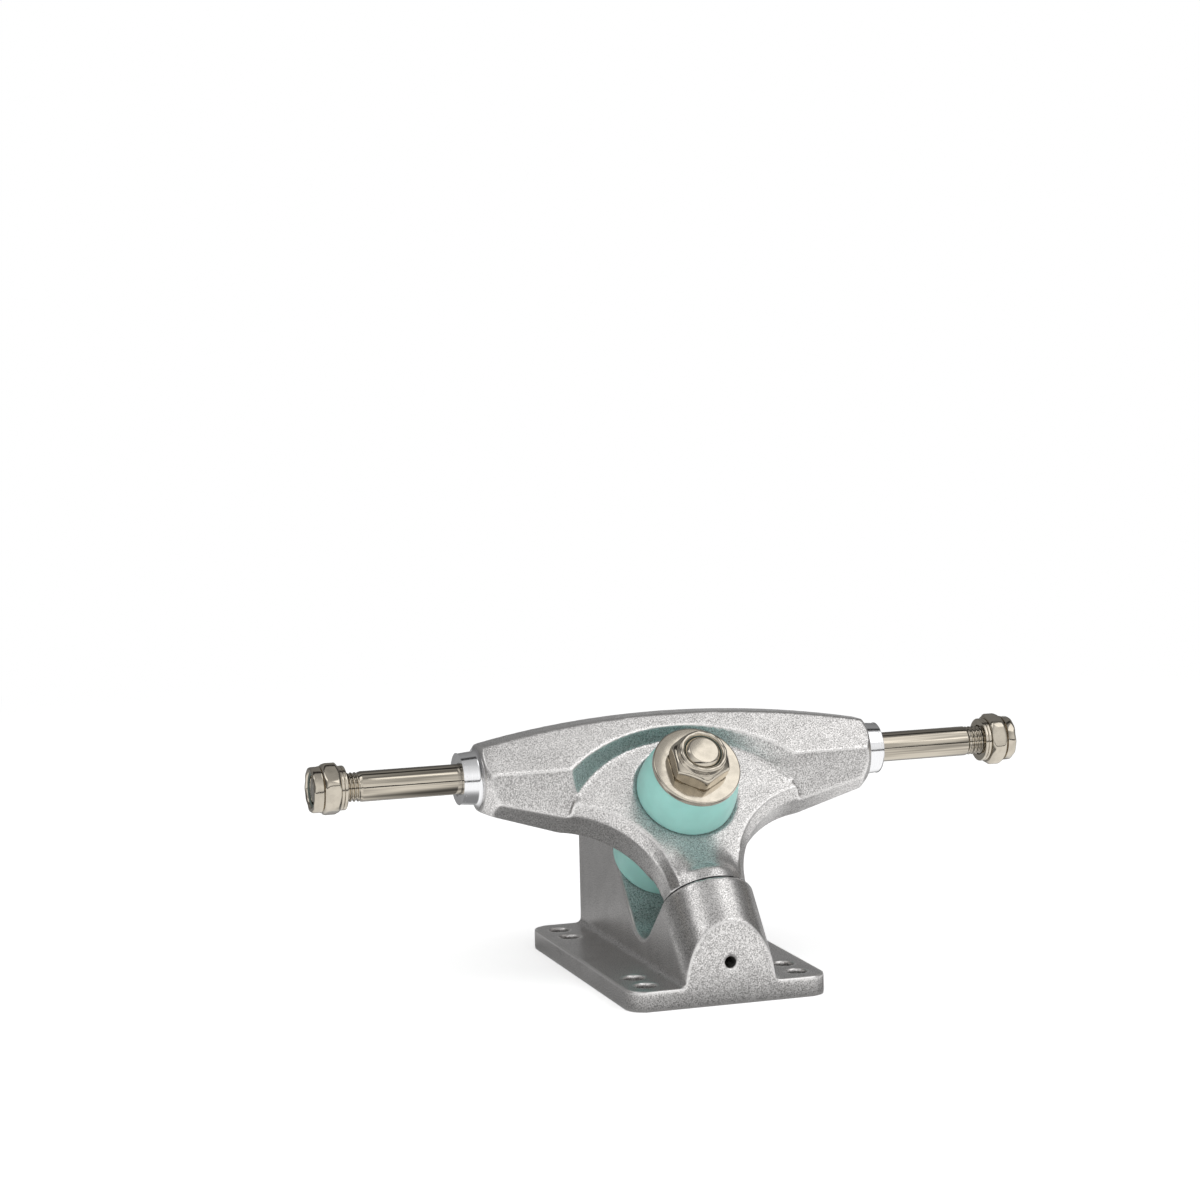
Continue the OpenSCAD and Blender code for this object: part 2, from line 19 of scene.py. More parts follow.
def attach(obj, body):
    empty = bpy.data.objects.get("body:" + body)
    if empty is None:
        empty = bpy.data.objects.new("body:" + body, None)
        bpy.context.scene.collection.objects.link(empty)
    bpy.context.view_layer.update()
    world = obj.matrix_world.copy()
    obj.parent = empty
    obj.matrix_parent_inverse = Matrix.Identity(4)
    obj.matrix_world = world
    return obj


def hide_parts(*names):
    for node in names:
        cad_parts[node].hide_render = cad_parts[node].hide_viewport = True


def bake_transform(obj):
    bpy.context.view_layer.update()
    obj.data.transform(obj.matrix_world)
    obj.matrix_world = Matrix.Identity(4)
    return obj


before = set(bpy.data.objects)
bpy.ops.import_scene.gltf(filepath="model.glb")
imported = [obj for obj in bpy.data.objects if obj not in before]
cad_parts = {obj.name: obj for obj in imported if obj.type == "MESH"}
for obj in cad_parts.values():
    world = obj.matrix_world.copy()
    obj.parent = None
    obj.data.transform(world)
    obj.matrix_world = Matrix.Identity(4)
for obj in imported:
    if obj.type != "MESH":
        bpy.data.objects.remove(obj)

LOG = logging.getLogger("truck")
MM = 0.001
WHITE = (1.0, 1.0, 1.0, 1.0)
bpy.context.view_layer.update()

Array = np.ndarray
Points = Array | list[float]
Color = tuple[float, float, float]
Band = tuple[float, float, float, float]
Stops = Sequence[tuple[float, float]]
# What a node's input takes: a constant, a socket, or a node, which stands for its first output.
Value = float | tuple[float, ...] | NodeSocket | Node
# A placer takes the polar angle, the radius and the height of a turned surface and gives metres.
Placer = Callable[[Array, Array, Array], Array]


class Side(Enum):
    """End of the axle that a piece sits on."""

    LEFT = -1
    RIGHT = 1

    @property
    def label(self) -> str:
        """Lower-case word used in node, body and piece names."""
        return self.name.lower()


@dataclass(frozen=True)
class Steering:
    """Frame of the kingpin and the pivot axis.

    x runs across, u along the pivot axis and w along the kingpin.
    """

    angle: float = math.radians(48.0)
    cross_y: float = -6.5
    cross_z: float = 45.2

    @property
    def along(self) -> Array:
        """Direction of u."""
        return np.array([0.0, math.cos(self.angle), math.sin(self.angle)])

    @property
    def up(self) -> Array:
        """Direction of w."""
        return np.array([0.0, -math.sin(self.angle), math.cos(self.angle)])

    def place(self, x: Array, u: Array, w: Array) -> Array:
        """Turns steering coordinates in millimetres into model coordinates in metres.

        The point is the crossing plus u times the pivot direction plus w times the kingpin's.

        Args:
            x: Distance across.
            u: Distance along the pivot axis.
            w: Distance along the kingpin.

        Returns:
            Array with a last axis of 3.
        """
        c, s = math.cos(self.angle), math.sin(self.angle)
        x, u, w = np.broadcast_arrays(x, u, w)
        return np.stack([x, self.cross_y + u * c - w * s, self.cross_z + u * s + w * c], -1) * MM

    def point(self, w: float) -> tuple[float, float, float]:
        """Point on the kingpin axis at height w, in metres."""
        return tuple(float(v) for v in self.place(np.array(0.0), np.array(0.0), np.array(w)))


@dataclass(frozen=True)
class AxleLine:
    """Centre line of the axle."""

    y: float = 0.31093
    z: float = 55.75326

    def place(self, side: int, along: Array, a: Array, b: Array) -> Array:
        """Turns a point given along and across the axle into model coordinates in metres.

        Args:
            side: 1 to the right, -1 to the left.
            along: Distance from the middle of the truck.
            a: Distance towards +Y.
            b: Distance towards +Z.

        Returns:
            Array with a last axis of 3.
        """
        along, a, b = np.broadcast_arrays(along, a, b)
        return np.stack([side * along, self.y + a, self.z + b], -1) * MM


STEERING = Steering()
AXLE = AxleLine()


def on_kingpin(angle: Array, radius: Array, height: Array) -> Array:
    """Places a turned surface round the kingpin; height is w."""
    return STEERING.place(radius * np.cos(angle), radius * np.sin(angle), height)


def on_pivot(angle: Array, radius: Array, height: Array) -> Array:
    """Places a turned surface round the pivot axis; height is u."""
    return STEERING.place(radius * np.cos(angle), height, radius * np.sin(angle))


def on_axle(side: Side) -> Placer:
    """Makes a placer for one end of the axle.

    Args:
        side: End of the axle; heights grow outwards from the middle of the truck.

    Returns:
        Function of angle, radius and height.
    """

    def place(angle: Array, radius: Array, height: Array) -> Array:
        """Places a turned surface round the axle; height is the distance from the middle."""
        return AXLE.place(side.value, height, radius * np.cos(angle), radius * np.sin(angle))

    return place


def spread(rows: Array, segments: int) -> list[Array]:
    """Spreads an outline over a grid with a full turn of angles.

    Args:
        rows: Numbers of each point of the outline.
        segments: Points round the axis.

    Returns:
        One grid for each column of the rows, and the grid of angles.
    """
    angle = np.linspace(0.0, 2 * math.pi, segments, endpoint=False)[None, :]
    return np.broadcast_arrays(*(column[:, None] for column in rows.T), angle)


def bend(a: Points, corner: Points, b: Points, t: Array) -> Array:
    """Rounded corner (1-t)^2 A + 2t(1-t) C + t^2 B, with t from 0 at A to 1 at B."""
    return (1 - t) ** 2 * a + 2 * t * (1 - t) * corner + t**2 * b


def rounded_profile(points: Sequence[tuple[float, float, float]], steps: int = 6) -> Array:
    """Rounds the corners of a closed outline in the plane of radius and height.

    Each corner is cut at its own distance along both edges, but never past their middle, and
    the two cuts are joined by a bend.

    Args:
        points: Radius, height and rounding distance of each corner, in order round the outline.
        steps: Points along each rounded corner.

    Returns:
        Array of radius and height, one row per point.
    """
    largest_share = 0.49
    p = np.array(points, float)
    c, cut = p[:, :2], p[:, 2:3]
    back, ahead = np.roll(c, 1, 0) - c, np.roll(c, -1, 0) - c
    back_l, ahead_l = (np.linalg.norm(edge, axis=1, keepdims=True) for edge in (back, ahead))
    a = c + back / back_l * np.minimum(cut, back_l * largest_share)
    b = c + ahead / ahead_l * np.minimum(cut, ahead_l * largest_share)
    t = np.linspace(0.0, 1.0, steps)[None, :, None]
    return bend(a[:, None], c[:, None], b[:, None], t).reshape(-1, 2)


def grid_faces(rows: int, columns: int) -> Array:
    """Quads of a grid that closes on itself along both parameters.

    Args:
        rows: Points along the outline.
        columns: Points round the axis.

    Returns:
        Array of four vertex numbers per face.
    """
    i, j = np.meshgrid(np.arange(rows), np.arange(columns), indexing="ij")
    i, j, i2, j2 = i * columns, j, (i + 1) % rows * columns, (j + 1) % columns
    return np.stack([i + j, i + j2, i2 + j2, i2 + j], -1).reshape(-1, 4)


def linked(name: str, data: ID) -> Object:
    """Adds an object to the scene.

    Args:
        name: Name of the object.
        data: Its mesh, lamp or camera.

    Returns:
        The new object, at the origin.
    """
    thing = bpy.data.objects.new(name, data)
    bpy.context.scene.collection.objects.link(thing)
    return thing


def make_piece(name: str, vertices: Array, faces: Array, sharp_deg: float = 40.0) -> Object:
    """Puts a surface into a mesh object, welds its poles and points its faces outwards.

    Args:
        name: Name of the piece.
        vertices: Points in metres, last axis 3.
        faces: Four vertex numbers per face.
        sharp_deg: Edges that bend more than this stay crisp.

    Returns:
        The new object, at the origin.
    """
    weld = 1e-7
    mesh = bpy.data.meshes.new(name)
    mesh.from_pydata(vertices.reshape(-1, 3).tolist(), [], faces.tolist())
    bm = bmesh.new()
    bm.from_mesh(mesh)
    bmesh.ops.remove_doubles(bm, verts=bm.verts, dist=weld)
    bmesh.ops.dissolve_degenerate(bm, edges=bm.edges, dist=weld)
    bmesh.ops.recalc_face_normals(bm, faces=bm.faces)
    bm.to_mesh(mesh)
    bm.free()
    mesh.shade_smooth()
    mesh.set_sharp_from_angle(angle=math.radians(sharp_deg))
    return linked(name, mesh)


def turned(name: str, profile: Array, place: Placer, segments: int = 96) -> Object:
    """Turns a closed outline round an axis: the point at angle a and row i is place(a, r_i, h_i).

    Args:
        name: Name of the piece.
        profile: Radius and height of each point of the outline.
        place: Placer for the axis.
        segments: Points round the axis.

    Returns:
        The new object.
    """
    radius, height, angle = spread(profile, segments)
    return make_piece(name, place(angle, radius, height), grid_faces(len(profile), segments))


def read_mesh(mesh: Mesh) -> tuple[Array, Array, Array, Array]:
    """Reads a mesh into arrays.

    Args:
        mesh: The mesh.

    Returns:
        Points in metres, normals, and the owner and the neighbour of each edge, taken both ways.
    """
    points, normals = (np.empty(len(mesh.vertices) * 3, np.float32) for _ in range(2))
    ends = np.empty(len(mesh.edges) * 2, np.int32)
    mesh.vertices.foreach_get("co", points)
    mesh.vertices.foreach_get("normal", normals)
    mesh.edges.foreach_get("vertices", ends)
    ends = ends.reshape(-1, 2)
    owner, neighbour = np.concatenate([ends, ends[:, ::-1]]).T
    return points.reshape(-1, 3), normals.reshape(-1, 3), owner, neighbour


def write_points(mesh: Mesh, points: Array) -> None:
    """Moves the vertices to points given in millimetres."""
    mesh.vertices.foreach_set("co", (points * MM).astype(np.float32).ravel())
    mesh.update()


def tinted(color: Color, share: float) -> Color:
    """Colour times a share."""
    return tuple(v * share for v in color)


class Graph:
    """Adds nodes to a material or a world."""

    def __init__(self, owner: Material | World) -> None:
        """Empties the owner's node tree.

        Args:
            owner: The material or world.
        """
        owner.use_nodes = True
        self.tree = owner.node_tree
        self.tree.nodes.clear()

    def put(self, node: Node, key: str | int, value: Value) -> None:
        """Links a value into an input, or sets the input's constant.

        Args:
            node: Node that the input belongs to.
            key: Name or number of the input.
            value: Node, socket or constant.
        """
        if isinstance(value, Node):
            value = value.outputs[0]
        if isinstance(value, NodeSocket):
            self.tree.links.new(value, node.inputs[key])
        else:
            node.inputs[key].default_value = value

    def add(self, kind: str, inputs: dict[str | int, Value] | None = None) -> Node:
        """Adds a node.

        Args:
            kind: Type of the node, without the leading ShaderNode.
            inputs: Value of each input that isn't left alone, by its name or number.

        Returns:
            The node.
        """
        node = self.tree.nodes.new(f"ShaderNode{kind}")
        for key, value in (inputs or {}).items():
            self.put(node, key, value)
        return node

    def math(self, operation: str, *values: Value) -> Node:
        """Adds a math node.

        Args:
            operation: What it does.
            *values: Its inputs in order.

        Returns:
            The node.
        """
        node = self.add("Math", dict(enumerate(values)))
        node.operation = operation
        return node

    def ramp(self, factor: Value, stops: Sequence[tuple[float, Sequence[float]]]) -> NodeSocket:
        """Adds a colour ramp.

        Args:
            factor: What drives it.
            stops: Position and colour of each stop.

        Returns:
            Colour socket.
        """
        node = self.add("ValToRGB", {"Fac": factor})
        elements = node.color_ramp.elements
        while len(elements) < len(stops):
            elements.new(0.5)
        for element, (position, color) in zip(elements, stops):
            element.position = position
            element.color = (*color, 1.0)
        return node.outputs["Color"]

    def scaled(
        self, factor: Value, low: float, high: float, start: float = 0.3, end: float = 0.7
    ) -> NodeSocket:
        """Maps a factor to a range of values.

        Args:
            factor: What drives it.
            low: Value where the factor is start or less.
            high: Value where the factor is end or more.
            start: Lower end of the factor.
            end: Upper end of the factor.

        Returns:
            Value socket.
        """
        limits = {"From Min": start, "From Max": end, "To Min": low, "To Max": high}
        return self.add("MapRange", {"Value": factor, **limits}).outputs["Result"]

    def mixed(self, factor: Value, a: Value, b: Value) -> NodeSocket:
        """Mixes two colours.

        Args:
            factor: Share of the second colour.
            a: First colour.
            b: Second colour.

        Returns:
            Colour socket.
        """
        node = self.add("Mix")
        node.data_type = "RGBA"
        for key, value in (("Factor", factor), ("A", a), ("B", b)):
            self.put(node, key, value)
        return node.outputs["Result"]


class Shader(Graph):
    """Builds one surface material, with object coordinates in metres as the pattern space."""

    def __init__(self, name: str) -> None:
        """Starts a material with a plain surface.

        Args:
            name: Name of the material.
        """
        self.material = bpy.data.materials.new(name)
        super().__init__(self.material)
        self.surface = self.add("BsdfPrincipled")
        self.add("OutputMaterial", {"Surface": self.surface})
        self.place = self.add("TexCoord").outputs["Object"]

    def set(self, **values: Value) -> None:
        """Sets or links inputs of the surface; an underscore stands for a space."""
        for key, value in values.items():
            self.put(self.surface, key.replace("_", " "), value)

    def noise(
        self, size_mm: float, detail: float = 2.0, stretch: Color = (1.0, 1.0, 1.0)
    ) -> NodeSocket:
        """Adds a noise pattern.

        Args:
            size_mm: Size of one grain.
            detail: Octaves of finer noise.
            stretch: Scale along X, Y and Z before the noise is read.

        Returns:
            Factor socket from 0 to 1.
        """
        mapping = self.add("Mapping", {"Vector": self.place, "Scale": stretch})
        return self.add(
            "TexNoise", {"Vector": mapping, "Scale": 1.0 / (size_mm * MM), "Detail": detail}
        ).outputs["Fac"]

    def attribute(self, name: str) -> NodeSocket:
        """Reads a number stored on the piece's own vertices.

        Args:
            name: Name of the attribute.

        Returns:
            Value socket.
        """
        node = self.add("Attribute")
        node.attribute_name = name
        return node.outputs["Fac"]

    def bump(
        self, height: Value, depth_mm: float, strength: float, under: NodeSocket | None = None
    ) -> NodeSocket:
        """Adds a bump and wires it to the surface's normal.

        Args:
            height: Height factor.
            depth_mm: Height of the relief.
            strength: How much of it shows.
            under: Normal of a coarser bump below this one.

        Returns:
            Normal socket.
        """
        node = self.add("Bump", {"Height": height, "Distance": depth_mm * MM, "Strength": strength})
        if under is not None:
            self.put(node, "Normal", under)
        self.set(Normal=node)
        return node.outputs["Normal"]


@dataclass(frozen=True)
class CastMetal:
    """Tumbled cast aluminium: grey with a fine bright speckle, softly uneven faces and lighter convex
    edges, a painted highlight together with wear.
    """

    name: str = "tumbled_casting"
    dark: Color = (0.27, 0.263, 0.258)
    light: Color = (0.82, 0.803, 0.79)
    # Colour of the convex edges: a painted highlight together with wear.
    highlight_and_wear_edge: Color = (0.86, 0.845, 0.83)
    grain_mm: float = 0.3
    cloud_mm: float = 6.0
    swell_mm: float = 2.4

    def build(self) -> Material:
        """Builds the material.

        Returns:
            The material.
        """
        s = Shader(self.name)
        grain = s.noise(self.grain_mm, 3.0)
        cloud = s.noise(self.cloud_mm)
        middle = tuple(0.5 * (a + b) for a, b in zip(self.dark, self.light))
        fine = s.ramp(grain, [(0.36, self.dark), (0.5, middle), (0.64, self.light)])
        rubbed = s.ramp(grain, [(0.33, tinted(self.dark, 1.1)), (0.61, tinted(self.light, 1.06))])
        body = s.mixed(s.scaled(cloud, 0.0, 0.8), fine, rubbed)
        # Convex edges are painted lighter: a painted highlight along the ridges, together with wear.
        edge = s.ramp(grain, [(0.3, tinted(self.highlight_and_wear_edge, 0.85)), (0.7, self.highlight_and_wear_edge)])
        wear = s.scaled(s.attribute("edge_highlight_and_wear"), 0.0, 0.9, 0.1, 0.8)
        s.set(Base_Color=s.mixed(wear, body, edge), Roughness=s.scaled(grain, 0.36, 0.26))
        s.bump(grain, 0.028, 0.5, s.bump(s.noise(self.swell_mm), 0.05, 0.2))
        s.set(Metallic=0.92)
        return s.material


@dataclass(frozen=True)
class PlatedSteel:
    """Warm nickel plate over steel, with faint machining marks and a little wear; with a low darker
    share, its streaks are painted reflection bands.
    """

    name: str = "warm_nickel"
    color: Color = (0.56, 0.51, 0.43)
    darker: float = 0.86
    roughness: float = 0.11
    streak_mm: float = 3.0
    stretch: Color = (1.0, 1.0, 1.0)
    waves_mm: float = 0.01
    marks_mm: float = 0.2

    def build(self) -> Material:
        """Builds the material.

        Returns:
            The material.
        """
        s = Shader(self.name)
        cloud = s.noise(self.streak_mm, 3.0, self.stretch)
        s.set(
            Base_Color=s.ramp(cloud, [(0.38, tinted(self.color, self.darker)), (0.6, self.color)]),
            Roughness=s.scaled(cloud, self.roughness * 1.35, self.roughness * 0.8),
            Metallic=1.0,
        )
        waves = s.bump(cloud, self.waves_mm, 0.5)
        s.bump(s.noise(self.marks_mm, 2.0, self.stretch), 0.004, 0.3, waves)
        return s.material


@dataclass(frozen=True)
class TurnedAluminium:
    """Bright machined boss with fine tool rings across the axle."""

    name: str = "turned_boss"
    color: Color = (0.86, 0.86, 0.87)
    ring_mm: float = 0.12
    stretch: Color = (1.0, 0.02, 0.02)

    def build(self) -> Material:
        """Builds the material.

        Returns:
            The material.
        """
        s = Shader(self.name)
        rings = s.noise(self.ring_mm, 1.0, self.stretch)
        s.set(
            Base_Color=s.ramp(rings, [(0.3, tinted(self.color, 0.92)), (0.7, self.color)]),
            Roughness=s.scaled(rings, 0.1, 0.17),
            Metallic=1.0,
        )
        s.bump(rings, 0.004, 0.4)
        return s.material


@dataclass(frozen=True)
class CastUrethane:
    """Poured urethane, slightly translucent and satin; what it casts on the metal is greyer."""

    name: str = "mint_urethane"
    color: Color = (0.385, 0.745, 0.68)
    # Colour that other rays see: a painted, greyer tint for the bounce and reflection that falls on the
    # metal.
    cast: Color = (0.36, 0.6, 0.58)
    scatter: float = 0.35
    scatter_radius: Color = (0.6, 1.0, 0.9)
    scatter_depth: float = 0.0016
    roughness: float = 0.38

    def build(self) -> Material:
        """Builds the material.

        Returns:
            The material.
        """
        s = Shader(self.name)
        cloud = s.noise(5.0)
        own = s.ramp(cloud, [(0.35, tinted(self.color, 0.93)), (0.65, self.color)])
        # Rays other than the camera's see the greyer colour, so the tint that the bushing throws on the
        # metal is painted greyer than its own.
        seen = s.add("LightPath").outputs["Is Camera Ray"]
        s.set(
            Base_Color=s.mixed(seen, (*self.cast, 1.0), own),
            Roughness=s.scaled(cloud, self.roughness * 1.1, self.roughness * 0.9),
            Subsurface_Weight=self.scatter,
            Subsurface_Radius=self.scatter_radius,
            Subsurface_Scale=self.scatter_depth,
            IOR=1.48,
        )
        s.bump(s.noise(0.5, 3.0), 0.008, 0.25)
        return s.material


@dataclass(frozen=True)
class MouldedNylon:
    """Dull nylon ring or black moulded urethane."""

    name: str = "nylon_ring"
    color: Color = (0.10, 0.125, 0.11)
    roughness: float = 0.5

    def build(self) -> Material:
        """Builds the material.

        Returns:
            The material.
        """
        s = Shader(self.name)
        cloud = s.noise(1.5)
        s.set(
            Base_Color=s.ramp(cloud, [(0.3, tinted(self.color, 0.85)), (0.7, self.color)]),
            Roughness=s.scaled(cloud, self.roughness * 1.1, self.roughness * 0.85),
        )
        s.bump(s.noise(0.25), 0.008, 0.4)
        return s.material


class Finishes:
    """All the materials, each built once."""

    def __init__(self) -> None:
        """Builds every finish."""
        self.casting = CastMetal().build()
        self.nickel = PlatedSteel().build()
        # On the axle the streaks run along its length and fall to 0.42 of the colour: painted
        # reflection bands over the plate's own uneven tone.
        self.axle_steel = PlatedSteel(
            name="axle_steel", color=(0.55, 0.50, 0.42), darker=0.42, roughness=0.07,
            streak_mm=0.9, stretch=(0.02, 1.0, 1.0), waves_mm=0.045,
        ).build()
        self.boss = TurnedAluminium().build()
        self.urethane = CastUrethane().build()
        self.cup = MouldedNylon("black_cup", (0.012, 0.012, 0.013), 0.45).build()
        self.nylon = MouldedNylon().build()


def dress(piece: Object, material: Material, slot: str, body: str | None, *nodes: str) -> None:
    """Gives a piece its finish and its body, and hides the nodes that it stands for.

    Args:
        piece: The piece.
        material: Its finish.
        slot: Not used.
        body: Body that it rides on, or None for a piece that rides on none.
        *nodes: Nodes that it replaces.
    """
    piece.data.materials.clear()
    piece.data.materials.append(material)
    if body is not None:
        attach(piece, body)
    if nodes:
        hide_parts(*nodes)
    LOG.info("%s: %d faces", piece.name, len(piece.data.polygons))


@dataclass
class Casting:
    """Soft-edged copy of a cast node, made by remeshing the node and relaxing its edges."""

    node: str
    voxel_mm: float
    relax: int
    boss_from: float | None = None
    boss_sink: float = 0.25
    boss_core: tuple[float, float] = (5.0, 8.0)
    nose_u: float | None = None
    ramp_u: float = -14.6
    ring_l: float = 2.0
    ring_r: float = 10.6
    web_w: float = 7.2

    def build(self) -> Object:
        """Copies, welds, remeshes and relaxes the node.

        Returns:
            The softened piece, at the origin.
        """
        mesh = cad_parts[self.node].data.copy()
        mesh.name = f"{self.node}_casting"
        weld = 2e-6
        bm = bmesh.new()
        bm.from_mesh(mesh)
        bmesh.ops.remove_doubles(bm, verts=bm.verts, dist=weld)
        bmesh.ops.recalc_face_normals(bm, faces=bm.faces)
        bm.to_mesh(mesh)
        bm.free()
        piece = linked(mesh.name, mesh)
        remesh = piece.modifiers.new("remesh", "REMESH")
        remesh.mode = "VOXEL"
        remesh.voxel_size = self.voxel_mm * MM
        remesh.use_smooth_shade = True
        smooth = piece.modifiers.new("relax", "SMOOTH")
        smooth.factor = 0.5
        smooth.iterations = self.relax
        graph = bpy.context.evaluated_depsgraph_get()
        final = bpy.data.meshes.new_from_object(piece.evaluated_get(graph))
        piece.modifiers.clear()
        piece.data = final
        final.name = mesh.name + "_soft"
        bpy.data.meshes.remove(mesh)
        if self.boss_from is not None:
            self._sink_bosses(final)
        if self.nose_u is not None:
            self._blend_nose(final)
        self._mark_edges(final)
        final.shade_smooth()
        return piece

    def _blend_nose(self, mesh: Mesh, passes: int = 14) -> None:
        """Lets the web rise to the nose ring in a long hollow, as in the sand mould.

        Over the middle, a top point with a ramp value t of 0 at the bushing and 1 at the ring
        takes the greater of its own height and web + t^1.5 (sqrt(ring^2 - x^2) - web). Then each
        pass moves a vertex half way to the mean of its neighbours, times a weight that fades out
        at the nose's end, below the web, beside it and behind it.

        Args:
            mesh: Mesh of the hanger.
            passes: How many times the points are averaged.
        """
        points, normals, owner, neighbour = read_mesh(mesh)
        points = points.astype(float) / MM
        along, up = STEERING.along, STEERING.up
        from_cross = points - [0.0, STEERING.cross_y, STEERING.cross_z]
        x, u, w = np.abs(points[:, 0]), from_cross @ along, from_cross @ up
        ramp = (self.ramp_u - u) / (self.ramp_u - self.nose_u - self.ring_l)
        ramp = np.clip(ramp, 0.0, 1.0) ** 1.5
        ring = np.sqrt(np.maximum(self.ring_r**2 - x**2, self.web_w**2))
        target = self.web_w + ramp * (ring - self.web_w)
        facing_up = normals @ up > 0.3
        top = facing_up & (w > self.web_w - 0.5) & (x < self.ring_r) & (ramp > 0)
        points += np.where(top, np.maximum(target - w, 0.0), 0.0)[:, None] * up
        end, back = u - self.nose_u - 0.7, self.ramp_u + 1.0 - u
        below, beside = w - 4.6, self.ring_r - x
        fades = (end, 1.2), (back, 2.0), (below, 1.2), (beside, 1.4)
        weight = np.prod([np.clip(inside / width, 0, 1) for inside, width in fades], 0)
        near = weight[owner] > 0
        owner, neighbour = owner[near], neighbour[near]
        degree = np.maximum(np.bincount(owner, minlength=len(points)), 1)[:, None]
        for _ in range(passes):
            sums = [np.bincount(owner, points[neighbour, axis], len(points)) for axis in range(3)]
            step = np.stack(sums, 1) / degree - points
            points += np.where(weight[:, None] > 0, step, 0.0) * weight[:, None] * 0.5
        write_points(mesh, points)

    @staticmethod
    def _mark_edges(mesh: Mesh, passes: int = 3) -> None:
        """Stores how convex the surface is at each vertex, as an attribute that the casting reads to
        paint its edges lighter, a painted highlight together with wear.

        Along each mesh edge the slope is minus the normal dot the unit direction to the
        neighbour. A vertex takes the mean of its slopes, which is then averaged with its
        neighbours a few times and scaled from 0 on a flat face to 1 on a sharp edge.

        Args:
            mesh: Mesh to mark.
            passes: How many times the values are averaged.
        """
        flat, sharp = 0.02, 0.12
        points, normals, owner, neighbour = read_mesh(mesh)
        count = len(points)
        step = points[neighbour] - points[owner]
        step /= np.maximum(np.linalg.norm(step, axis=1, keepdims=True), 1e-9)
        slope = -(normals[owner] * step).sum(1)
        degree = np.maximum(np.bincount(owner, minlength=count), 1)
        convex = np.bincount(owner, slope, count) / degree
        for _ in range(passes):
            mean = np.bincount(owner, convex[neighbour], count) / degree
            convex = 0.5 * convex + 0.5 * mean
        wear = np.clip((convex - flat) / (sharp - flat), 0.0, 1.0).astype(np.float32)
        mesh.attributes.new("edge_highlight_and_wear", "FLOAT", "POINT").data.foreach_set("value", wear)

    def _sink_bosses(self, mesh: Mesh) -> None:
        """Draws the cast bosses in, so that the turned ones cover them.

        A point beyond boss_from keeps its angle about the axle, loses boss_sink of its radius
        and moves towards the middle in proportion to its distance from boss_from.

        Args:
            mesh: Mesh of the hanger.
        """
        pull = 0.08
        bore, reach = self.boss_core
        points = read_mesh(mesh)[0] / MM
        along = np.abs(points[:, 0]) - self.boss_from
        across = points[:, 1:] - [AXLE.y, AXLE.z]
        radius = np.linalg.norm(across, axis=1)
        inside = (along > 0) & (radius < reach)
        smaller = (radius - self.boss_sink) / np.maximum(radius, 1e-6)
        scale = np.where(inside & (radius > bore), smaller, 1.0)
        points[:, 1:] = [AXLE.y, AXLE.z] + across * scale[:, None]
        points[:, 0] -= np.where(inside, np.sign(points[:, 0]) * along * pull, 0.0)
        write_points(mesh, points)


@dataclass
class Base:
    """Baseplate casting with its pivot cup."""

    finishes: Finishes
    cup_r: float = 8.7
    cup_floor: float = 2.2
    cup_floor_u: float = -43.2
    cup_rim_u: float = -25.6
    cup_bore: float = 7.0
    flange_r: float = 11.75
    flange_top_u: float = -28.62
    flange_low_u: float = -29.2

    def build(self) -> None:
        """Builds the casting and the cup, whose bore ends in a half ball."""
        plate = Casting("baseplate", voxel_mm=0.48, relax=4).build()
        dress(plate, self.finishes.casting, "cast_metal", "base", "baseplate")
        bore, r, flange = self.cup_bore, self.cup_r, self.flange_r
        rim, foot, top, low = self.cup_rim_u, self.cup_floor_u, self.flange_top_u, self.flange_low_u
        turn = np.linspace(-0.5 * math.pi, 0.0, 14)
        ball = [bore * np.cos(turn), foot + self.cup_floor + bore + bore * np.sin(turn)]
        outside = [
            (bore, rim, 0.5), (r, rim, 0.7), (r, top, 0.1), (flange, top, 0.25),
            (flange, low, 0.1), (r, low, 0.05), (r, foot, 0.3), (0.0, foot, 0.0),
        ]
        profile = np.concatenate([np.stack(ball, 1), rounded_profile(outside)])
        cup = turned("pivot_cup_urethane", profile, on_pivot, segments=72)
        dress(cup, self.finishes.cup, "black_urethane", "base", "pivot_cup")


@dataclass
class Bushing:
    """One barrel of urethane, turned from a curve that swells between its two ends."""

    finishes: Finishes
    node: str
    bodies: tuple[str, str]
    low_w: float
    high_w: float
    low_r: float
    high_r: float
    swell: float
    low_edge: float
    high_edge: float
    bore: float = 5.05

    def build(self) -> None:
        """Builds the barrel.

        The side is r(t) = low + (high - low) t^1.5 + swell sin(pi t), with t from 0 to 1.
        """
        t = np.linspace(0.04, 0.96, 30)
        widening = (self.high_r - self.low_r) * t**1.5
        side_r = self.low_r + widening + self.swell * np.sin(math.pi * t)
        side = np.stack([side_r, self.low_w + (self.high_w - self.low_w) * t], 1)
        t = np.linspace(0.0, 1.0, 8)[:-1, None]
        corners = (side[0], self.low_w, self.low_edge), (side[-1], self.high_w, self.high_edge)
        low, high = (bend([at[0] - cut, w], [at[0], w], at, t) for at, w, cut in corners)
        inside = [[self.bore, self.high_w], [self.bore, self.low_w]]
        profile = np.concatenate([low, side, high[::-1], inside])
        barrel = turned(f"{self.node}_urethane", profile, on_kingpin, segments=112)
        dress(barrel, self.finishes.urethane, "urethane", None, self.node)
        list(self.bodies)
        STEERING.point(self.low_w)
        STEERING.point(self.high_w)
        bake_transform(barrel)


